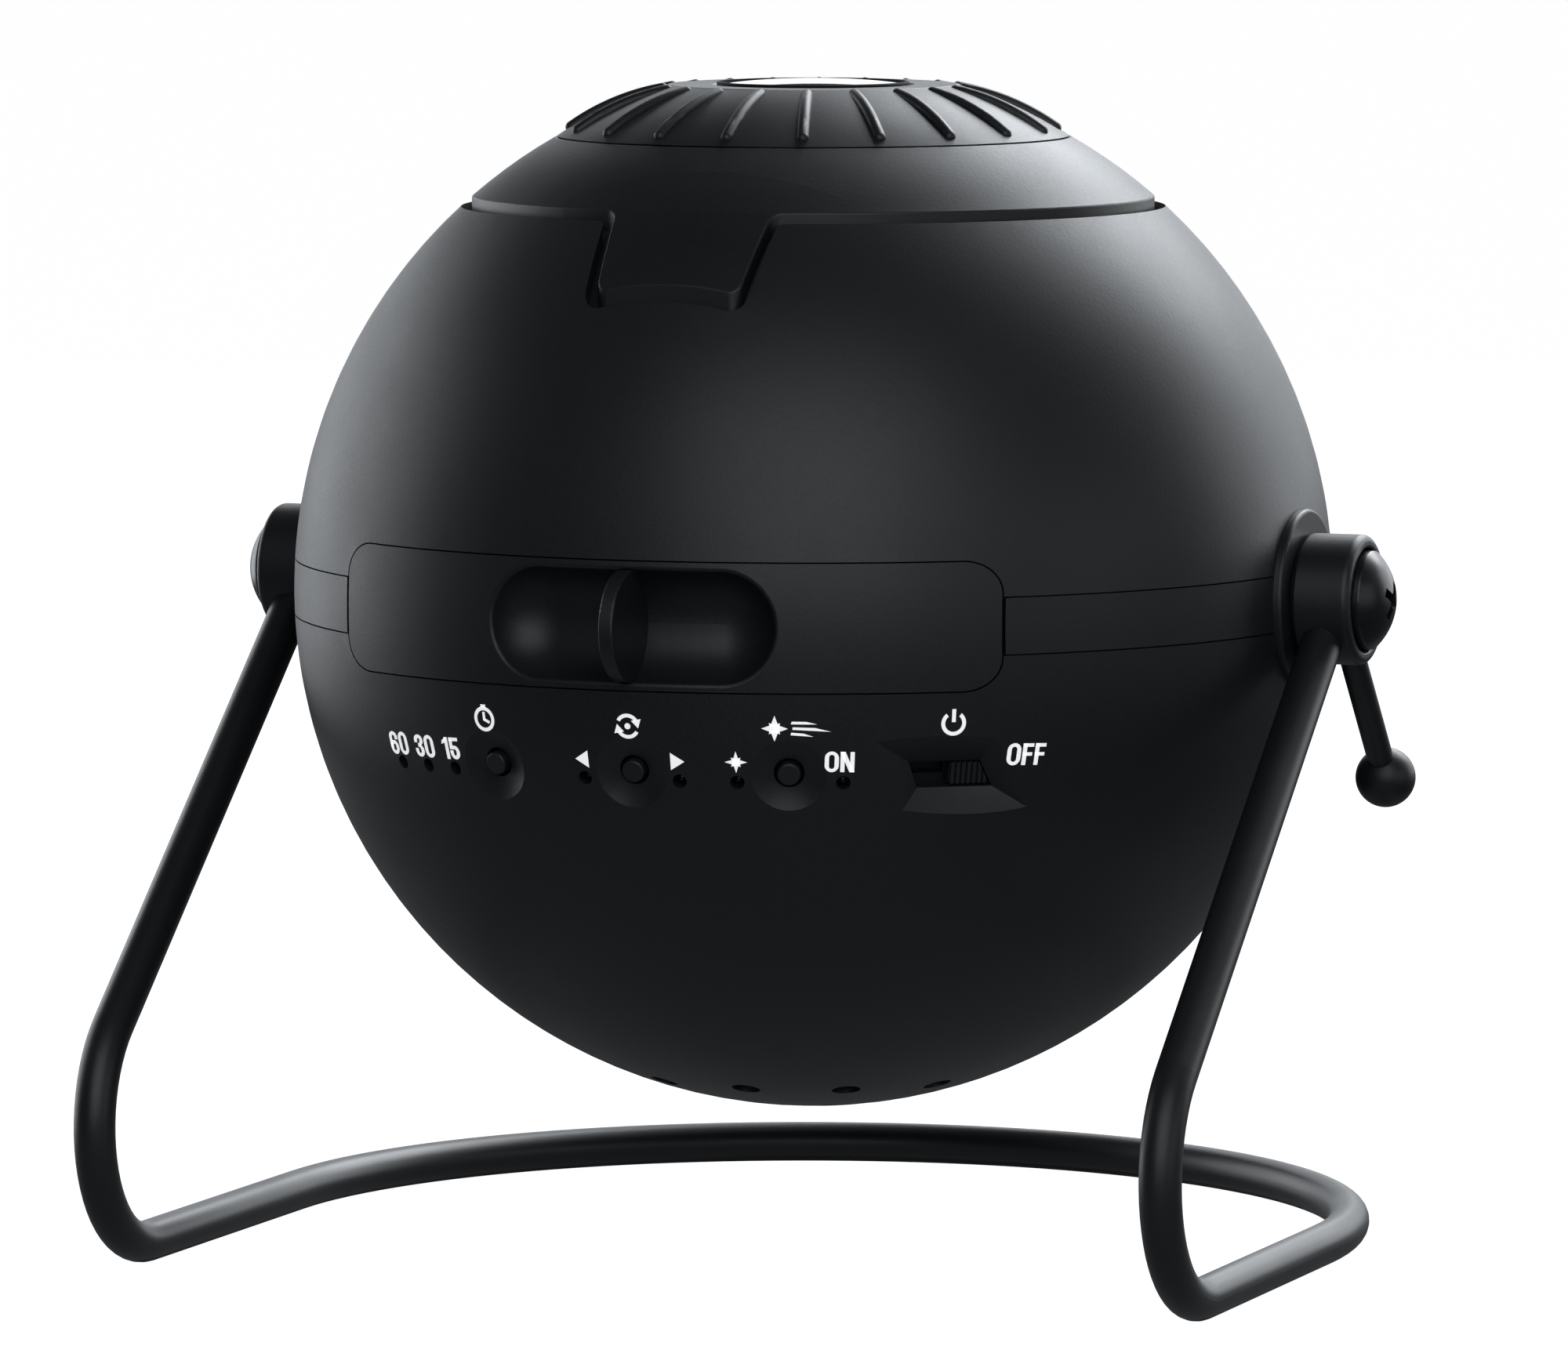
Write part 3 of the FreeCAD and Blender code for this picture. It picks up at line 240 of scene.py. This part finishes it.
USE = {
    "stand_rod": ROD, "collar_right": COLLAR, "collar_left": COLLAR, "clamp_pad": BRASS, "clamp_stem": ROD, "clamp_ball": COLLAR,
    "pivot_screw_right": HEAD, "pivot_screw_left": HEAD, "pivot_plate_right": COLLAR, "pivot_plate_left": COLLAR,
    "pivot_washer_right": BAFFLE, "pivot_washer_left": BAFFLE,
    "upper_shell": BODY, "lower_shell": BODY, "equator_band": BODY, "top_cover": BODY, "tray_front": BODY, "focus_ring": RING,
    "shell_screws": STEEL, "deck_posts": BRASS, "deck_screws": STEEL, "drive_motor": STEEL, "drive_shaft": STEEL, "drive_pinion": BRASS,
    "lens_barrel": BAFFLE, "focus_sleeve": INNER, "upper_deck": INNER, "chassis_plate": INNER, "tray_rails": INNER, "tray_frame": INNER,
    "front_lens": LENS, "rear_lens": CLEAR, "condenser_lens": CLEAR, "rear_lens_ring": ALU, "lamp_tube": BAFFLE, "lamp_board": ALU,
    "lamp_led": WHITE, "heat_sink": ALU, "control_board": BOARD, "tact_switches": KEYS, "indicator_leds": GLOSS, "slide_switch": KEYS,
    "power_inlet": GLOSS, "meteor_lamp": WHITE, "meteor_bracket": STEEL, "disc_carrier": WHITE, "star_disc": FILM, "disc_clip": STEEL,
    "timer_button": KEYS, "motion_button": KEYS, "meteor_button": KEYS, "power_slider": KEYS,
}
for name, obj in NODES.items():
    mat = USE.get(name, INNER)
    if not obj.material_slots:
        obj.data.materials.append(mat)
    for s in obj.material_slots:
        s.material = mat


# ------------------------------------------------------------------- markings
def on_globe(lon, lat):
    a, b = math.radians(lon), math.radians(lat)
    n = Vector((math.cos(b) * math.sin(a), -math.cos(b) * math.cos(a), math.sin(b)))
    e = Vector((math.cos(a), math.sin(a), 0.0))
    return n, e, n.cross(e)


def printed(name, lon, lat, polys, lift=0.000035, tilt=0.0):
    """White print: flat outlines in millimetres, laid onto the globe round a point."""
    n, e, u = on_globe(lon, lat)
    t = math.radians(tilt)
    ct, st = math.cos(t), math.sin(t)
    bm = bmesh.new()
    for k, poly in enumerate(polys):
        vs = [bm.verts.new((x * ct - y * st, x * st + y * ct, 0.0)) for x, y in poly]
        for tri in tessellate_polygon([[Vector((x, y, 0.0)) for x, y in poly]]):
            try:
                bm.faces.new([vs[i] for i in tri])
            except ValueError:
                pass
    for _ in range(3):
        long = [x for x in bm.edges if x.calc_length() > 0.55]
        if not long:
            break
        bmesh.ops.subdivide_edges(bm, edges=long, cuts=1)
        bmesh.ops.triangulate(bm, faces=[f for f in bm.faces if len(f.verts) > 3])
    for v in bm.verts:
        d = (n * R + e * (v.co.x * MM) + u * (v.co.y * MM)).normalized()
        v.co = CENTRE + d * (R + lift)
    bm.normal_update()
    for f in bm.faces:
        if f.normal.dot(f.calc_center_median() - CENTRE) < 0:
            f.normal_flip()
    me = bpy.data.meshes.new(name)
    bm.to_mesh(me)
    bm.free()
    # the print's material carries a painted glow from emission
    me.materials.append(INK_WITH_PAINTED_GLOW)
    for f in me.polygons:
        f.use_smooth = True
    ob = bpy.data.objects.new(name, me)
    scene.collection.objects.link(ob)
    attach(ob, "globe")
    return ob


def arc_band(cx, cy, rx, ry, w, a0, a1, n=28):
    """An elliptical stroke of width w, as one outline."""
    outer, inner = [], []
    for i in range(n + 1):
        a = math.radians(a0 + (a1 - a0) * i / n)
        outer.append((cx + (rx + w / 2) * math.cos(a), cy + (ry + w / 2) * math.sin(a)))
        inner.append((cx + (rx - w / 2) * math.cos(a), cy + (ry - w / 2) * math.sin(a)))
    return outer + inner[::-1]


def oval_quads(cx, cy, rx, ry, w, a0=0, a1=360, n=30, wy=None):
    """A stroke round an oval as quads, so closed loops keep their hole."""
    wy = w if wy is None else wy
    out = []
    for i in range(n):
        a, b = math.radians(a0 + (a1 - a0) * i / n), math.radians(a0 + (a1 - a0) * (i + 1) / n)
        out.append([(cx + (rx + w / 2) * math.cos(a), cy + (ry + wy / 2) * math.sin(a)), (cx + (rx + w / 2) * math.cos(b), cy + (ry + wy / 2) * math.sin(b)),
                    (cx + (rx - w / 2) * math.cos(b), cy + (ry - wy / 2) * math.sin(b)), (cx + (rx - w / 2) * math.cos(a), cy + (ry - wy / 2) * math.sin(a))])
    return out


def bar(x0, y0, x1, y1):
    return [(x0, y0), (x1, y0), (x1, y1), (x0, y1)]


def stadium(w, h, t, ty):
    """Heavy condensed O: straight sides, round ends."""
    ox, oy = w / 2, h / 2
    r_o = ox
    r_i = max(0.08, ox - t)
    iy = oy - ty
    out = []
    n = 14
    def loop(rx, hy):
        pts = []
        k = min(rx, hy)
        for q, (sx, sy) in enumerate(((1, 1), (-1, 1), (-1, -1), (1, -1))):
            cx, cy = sx * (rx - k), sy * (hy - k)
            for i in range(n + 1):
                a = math.radians(90 * q + 90 * i / n)
                pts.append((cx + k * math.cos(a), cy + k * math.sin(a)))
        return pts
    A, B = loop(r_o, oy), loop(r_i, iy)
    for i in range(len(A)):
        j = (i + 1) % len(A)
        out.append([A[i], A[j], B[j], B[i]])
    return out


def glyph(ch, h):
    """Heavy figures and capitals drawn from strokes, centred; returns outlines and width."""
    t = h * 0.20                                # stems
    b = h * 0.16                                # bars
    if ch in "0O":
        w = h * (0.62 if ch == "0" else 0.66)
        return stadium(w, h * 1.02, t, b), w
    if ch == "1":
        w = h * 0.40
        return [bar(w / 2 - t, -h / 2, w / 2, h / 2), [(-w / 2, h * 0.17), (w / 2 - t * 0.9, h * 0.26), (w / 2 - t * 0.9, h * 0.46), (-w / 2 + h * 0.03, h * 0.34)],
                [(w / 2 - t, h * 0.26), (w / 2 - t * 0.5, h / 2), (w / 2 - t, h * 0.44)]], w
    if ch == "6":
        w = h * 0.60
        p = [[(x, y - h * 0.20) for x, y in q] for q in stadium(w, h * 0.62, t, b)]
        p.append(bar(-w / 2, -h * 0.22, -w / 2 + t, h * 0.25))
        p += oval_quads(0, h * 0.25, w / 2 - t / 2, h * 0.17, t, 0, 180, 20, b)
        p.append(bar(w / 2 - t, h * 0.15, w / 2, h * 0.255))
        return p, w
    if ch == "3":
        w = h * 0.58
        p = oval_quads(0, h * 0.25, w / 2 - t / 2, h * 0.17, t, -70, 180, 26, b)
        p += oval_quads(0, -h * 0.22, w / 2 - t / 2, h * 0.20, t, -180, 70, 26, b)
        p.append(bar(-w / 2, h * 0.14, -w / 2 + t, h * 0.255))
        p.append(bar(-w / 2, -h * 0.225, -w / 2 + t, -h * 0.12))
        p.append(bar(-h * 0.07, -h * 0.06, h * 0.13, h * 0.11))
        return p, w
    if ch == "5":
        w = h * 0.58
        p = [bar(-w / 2 + h * 0.01, h / 2 - b, w / 2 - h * 0.02, h / 2), bar(-w / 2 + h * 0.01, -h * 0.04, -w / 2 + t, h * 0.40)]
        p += oval_quads(0, -h * 0.18, w / 2 - t / 2, h * 0.235, t, -180, 130, 32, b)
        p.append(bar(-w / 2, -h * 0.19, -w / 2 + t, -h * 0.09))
        return p, w
    if ch == "N":
        w = h * 0.66
        return [bar(-w / 2, -h / 2, -w / 2 + t, h / 2), bar(w / 2 - t, -h / 2, w / 2, h / 2),
                [(-w / 2, h / 2), (-w / 2 + t * 1.15, h / 2), (w / 2, -h / 2), (w / 2 - t * 1.15, -h / 2)]], w
    if ch == "F":
        w = h * 0.52
        return [bar(-w / 2, -h / 2, -w / 2 + t, h / 2), bar(-w / 2, h / 2 - b, w / 2, h / 2), bar(-w / 2, -h * 0.07, w / 2 - h * 0.05, -h * 0.07 + b)], w
    return [], 0.0


def word(name, text, lon, lat, h, gap=0.075, tilt=0.0):
    parts = [glyph(c, h) for c in text]
    total = sum(w for _, w in parts) + gap * h * (len(parts) - 1)
    x = -total / 2
    polys = []
    for g, w in parts:
        polys += [[(px + x + w / 2, py) for px, py in q] for q in g]
        x += w + gap * h
    return printed(name, lon, lat, polys, tilt=tilt)


word("print_60", "60", -32.92, -14.03, 3.15, tilt=2.0)
word("print_30", "30", -28.21, -14.01, 3.1, tilt=1.6)
word("print_15", "15", -23.83, -13.95, 3.05, tilt=1.2)
word("print_on", "ON", 23.25, -13.82, 2.8, tilt=-1.2)
word("print_off", "OFF", 44.26, -13.47, 3.0, tilt=-2.0)

# timer: a clock face with two hands and a crown
clock = oval_quads(0, 0, 1.45, 1.45, 0.50, n=44)
clock += [bar(-0.21, -0.20, 0.21, 0.98), [(-0.14, -0.20), (0.74, -0.62), (0.94, -0.26), (0.06, 0.16)], bar(-0.42, 1.60, 0.42, 1.98)]
printed("print_clock", -18.05, -10.25, [[(x, y - 0.05) for x, y in q] for q in clock])

# motion: two arrows chasing round a point
turn = []
for k in (0, 180):
    c, s = math.cos(math.radians(k)), math.sin(math.radians(k))
    arrow = oval_quads(0, 0, 1.45, 1.45, 0.50, 30, 150, 22)
    ex, ey = 1.45 * math.cos(math.radians(30)), 1.45 * math.sin(math.radians(30))
    tip = [(ex - 0.72, ey + 0.02), (ex + 0.66, ey + 0.30), (ex + 0.22, ey - 0.98)]
    turn += [[(x * c - y * s, x * s + y * c) for x, y in q] for q in arrow + [tip]]
turn.append([(0.42 * math.cos(math.radians(a)), 0.42 * math.sin(math.radians(a))) for a in range(0, 360, 20)])
printed("print_motion", 0.0, -10.2, turn)

# the two turning directions
printed("print_turn_left", -5.74, -14.06, [[(-1.05, 0.0), (0.85, -1.20), (0.85, 1.20)]])
printed("print_turn_right", 5.33, -13.97, [[(1.05, 0.0), (-0.85, 1.20), (-0.85, -1.20)]])


def star(cx, cy, ro, ri, points, phase):
    pts = []
    for i in range(points * 2):
        a = math.radians(phase + 180.0 / points * i)
        r = ro if i % 2 == 0 else ri
        pts.append((cx + r * math.cos(a), cy + r * math.sin(a)))
    return pts


def star_polys(cx, cy, ro, ri, points, phase):
    p = star(cx, cy, ro, ri, points, phase)
    return [[(cx, cy), p[i], p[(i + 1) % len(p)]] for i in range(len(p))]


# meteor: a four-pointed spark with three tapering trails; and a spark alone for its slow mode
meteor = star_polys(-2.9, 0.0, 1.75, 0.68, 4, 90) + star_polys(-2.9, 0.0, 1.05, 0.55, 4, 45)
meteor += [[(-0.75, 0.62), (-0.62, 0.98), (1.3, 0.95), (2.7, 0.60), (1.3, 0.60)],
           [(-0.55, -0.12), (-0.50, 0.22), (2.4, 0.12), (4.5, -0.42), (2.3, -0.28)],
           [(-0.80, -0.86), (-0.70, -0.52), (0.9, -0.64), (2.2, -1.08), (0.8, -0.98)]]
printed("print_meteor", 18.6, -10.15, meteor)
printed("print_spark", 11.93, -13.9, star_polys(0, 0, 1.5, 0.5, 4, 90) + star_polys(0, 0, 0.90, 0.46, 4, 45))

# power: a broken ring with a bar
power = oval_quads(0, -0.12, 1.42, 1.42, 0.52, 128, 412, 40)
power.append(bar(-0.26, 0.05, 0.26, 1.80))
printed("print_power", 35.6, -9.65, power)


# ------------------------------------------------------------ stage and light
def stage_mat():
    m, nt, b, tex = new_mat("pale_floor")
    n = noise(nt, tex, 3.0, 4.0)
    nt.links.new(colour_mix(nt, n.outputs["Fac"], (0.110, 0.111, 0.113), (0.118, 0.119, 0.121)), b.inputs["Base Color"])
    b.inputs["Roughness"].default_value = 0.9
    b.inputs["Specular IOR Level"].default_value = 0.1
    b.inputs["Emission Color"].default_value = (1.0, 1.0, 1.0, 1.0)
    b.inputs["Emission Strength"].default_value = 0.985
    return m


def stage():
    bm = bmesh.new()
    prof = [(0.0, -0.0002), (0.6, -0.0002), (3.0, -0.0002), (9.0, -0.0002)]
    for i in range(1, 13):
        a = math.radians(90.0 * i / 12)
        prof.append((9.0 + 3.0 * math.sin(a), 3.0 - 3.0 * math.cos(a)))
    prof.append((12.0, 9.0))
    rings = []
    seg = 96
    for r, z in prof:
        if r == 0.0:
            rings.append([bm.verts.new((0, 0, z))])
        else:
            rings.append([bm.verts.new((r * math.cos(2 * math.pi * k / seg), r * math.sin(2 * math.pi * k / seg), z)) for k in range(seg)])
    for k in range(seg):
        bm.faces.new((rings[0][0], rings[1][k], rings[1][(k + 1) % seg]))
    for i in range(1, len(rings) - 1):
        for k in range(seg):
            j = (k + 1) % seg
            bm.faces.new((rings[i][k], rings[i + 1][k], rings[i + 1][j], rings[i][j]))
    me = bpy.data.meshes.new("studio_floor")
    bm.to_mesh(me)
    bm.free()
    for f in me.polygons:
        f.use_smooth = True
    me.materials.append(stage_mat())
    ob = bpy.data.objects.new("studio_floor", me)
    scene.collection.objects.link(ob)
    ob.visible_diffuse = False
    ob.visible_glossy = False
    return ob


stage()


def softbox(name, az, el, dist, w, h, power, colour=(0.92, 0.96, 1.0), aim=CENTRE, spread=180.0):
    a, e = math.radians(az), math.radians(el)
    d = Vector((math.sin(a) * math.cos(e), -math.cos(a) * math.cos(e), math.sin(e)))
    light = bpy.data.lights.new(name, "AREA")
    light.shape = "RECTANGLE"
    light.size, light.size_y = w, h
    light.energy = power
    light.color = colour
    light.spread = math.radians(spread)
    ob = bpy.data.objects.new(name, light)
    ob.location = aim + d * dist
    ob.rotation_mode = "QUATERNION"
    ob.rotation_quaternion = d.to_track_quat("Z", "Y")
    ob.visible_camera = False
    scene.collection.objects.link(ob)
    return ob


softbox("key_front", 21, 26, 1.1, 1.05, 1.0, 5.0)
softbox("rim_right_high", 166, 38, 1.0, 0.70, 0.55, 9.6)
softbox("rim_right_low", 150, 12, 1.0, 0.80, 0.45, 2.6)
softbox("fill_right", 78, 8, 1.1, 0.9, 0.5, 0.95)
softbox("rim_left", -108, 8, 1.0, 0.86, 0.66, 4.2)
softbox("back_top", 200, 26, 1.6, 0.9, 0.35, 2.6)
softbox("back_low", 200, 7, 1.6, 1.5, 0.36, 2.2)


def floor_bounce():
    """The glow a pale floor throws up under the globe."""
    light = bpy.data.lights.new("floor_bounce", "AREA")
    light.shape = "RECTANGLE"
    light.size, light.size_y = 0.45, 0.45
    light.energy = 0.062
    light.color = (0.92, 0.96, 1.0)
    ob = bpy.data.objects.new("floor_bounce", light)
    ob.location = (-0.10, 0.06, 0.0006)
    ob.rotation_euler = (math.pi, 0.0, 0.0)
    ob.visible_camera = False
    scene.collection.objects.link(ob)


floor_bounce()

world = bpy.data.worlds.new("studio")
scene.world = world
world.use_nodes = True
wn = world.node_tree
wn.nodes.clear()
wo = wn.nodes.new("ShaderNodeOutputWorld")
bg = wn.nodes.new("ShaderNodeBackground")
bg.inputs["Color"].default_value = (0.90, 0.94, 1.0, 1.0)
bg.inputs["Strength"].default_value = 0.06
wn.links.new(bg.outputs["Background"], wo.inputs["Surface"])
scene.view_settings.view_transform = "Standard"
scene.view_settings.look = "None"
scene.view_settings.exposure = 0.0
scene.view_settings.gamma = 1.0


# --------------------------------------------------------------------- camera
def camera():
    """Views the globe from 20.4 degrees to its right and 5 degrees above."""
    az, el, roll = math.radians(20.42), math.radians(4.983), math.radians(-0.056)
    dist = 20.99 * R
    f = 13886.0
    back = Vector((math.sin(az) * math.cos(el), -math.cos(az) * math.cos(el), math.sin(el)))
    cam = bpy.data.cameras.new("camera")
    cam.lens = f / 2000.0 * 36.0
    cam.sensor_width = 36.0
    cam.sensor_fit = "HORIZONTAL"
    cam.clip_start, cam.clip_end = 0.05, 60.0
    ob = bpy.data.objects.new("camera", cam)
    pos = CENTRE + back * dist
    # turned a little so that the globe's centre stands right of and above the middle of the frame
    want = Vector(((1037.6 - 1000.0) / f, -(748.8 - 870.0) / f, 1.0))
    yaw, pitch = 0.0, el
    fwd0 = -back
    for _ in range(30):
        a = az + yaw
        F = Vector((-math.sin(a) * math.cos(pitch), math.cos(a) * math.cos(pitch), -math.sin(pitch)))
        X = Vector((math.cos(a), math.sin(a), 0.0))
        U = X.cross(F)
        X2 = X * math.cos(roll) + U * math.sin(roll)
        U2 = -X * math.sin(roll) + U * math.cos(roll)
        x, y, z = fwd0.dot(X2), fwd0.dot(U2), fwd0.dot(F)
        yaw += want.x - x / z
        pitch += want.y - y / z
    m = Matrix((X2, U2, -F)).transposed()
    ob.matrix_world = Matrix.Translation(pos) @ m.to_4x4()
    scene.collection.objects.link(ob)
    scene.camera = ob
    print("camera residual", want.x - x / z, want.y - y / z)


camera()
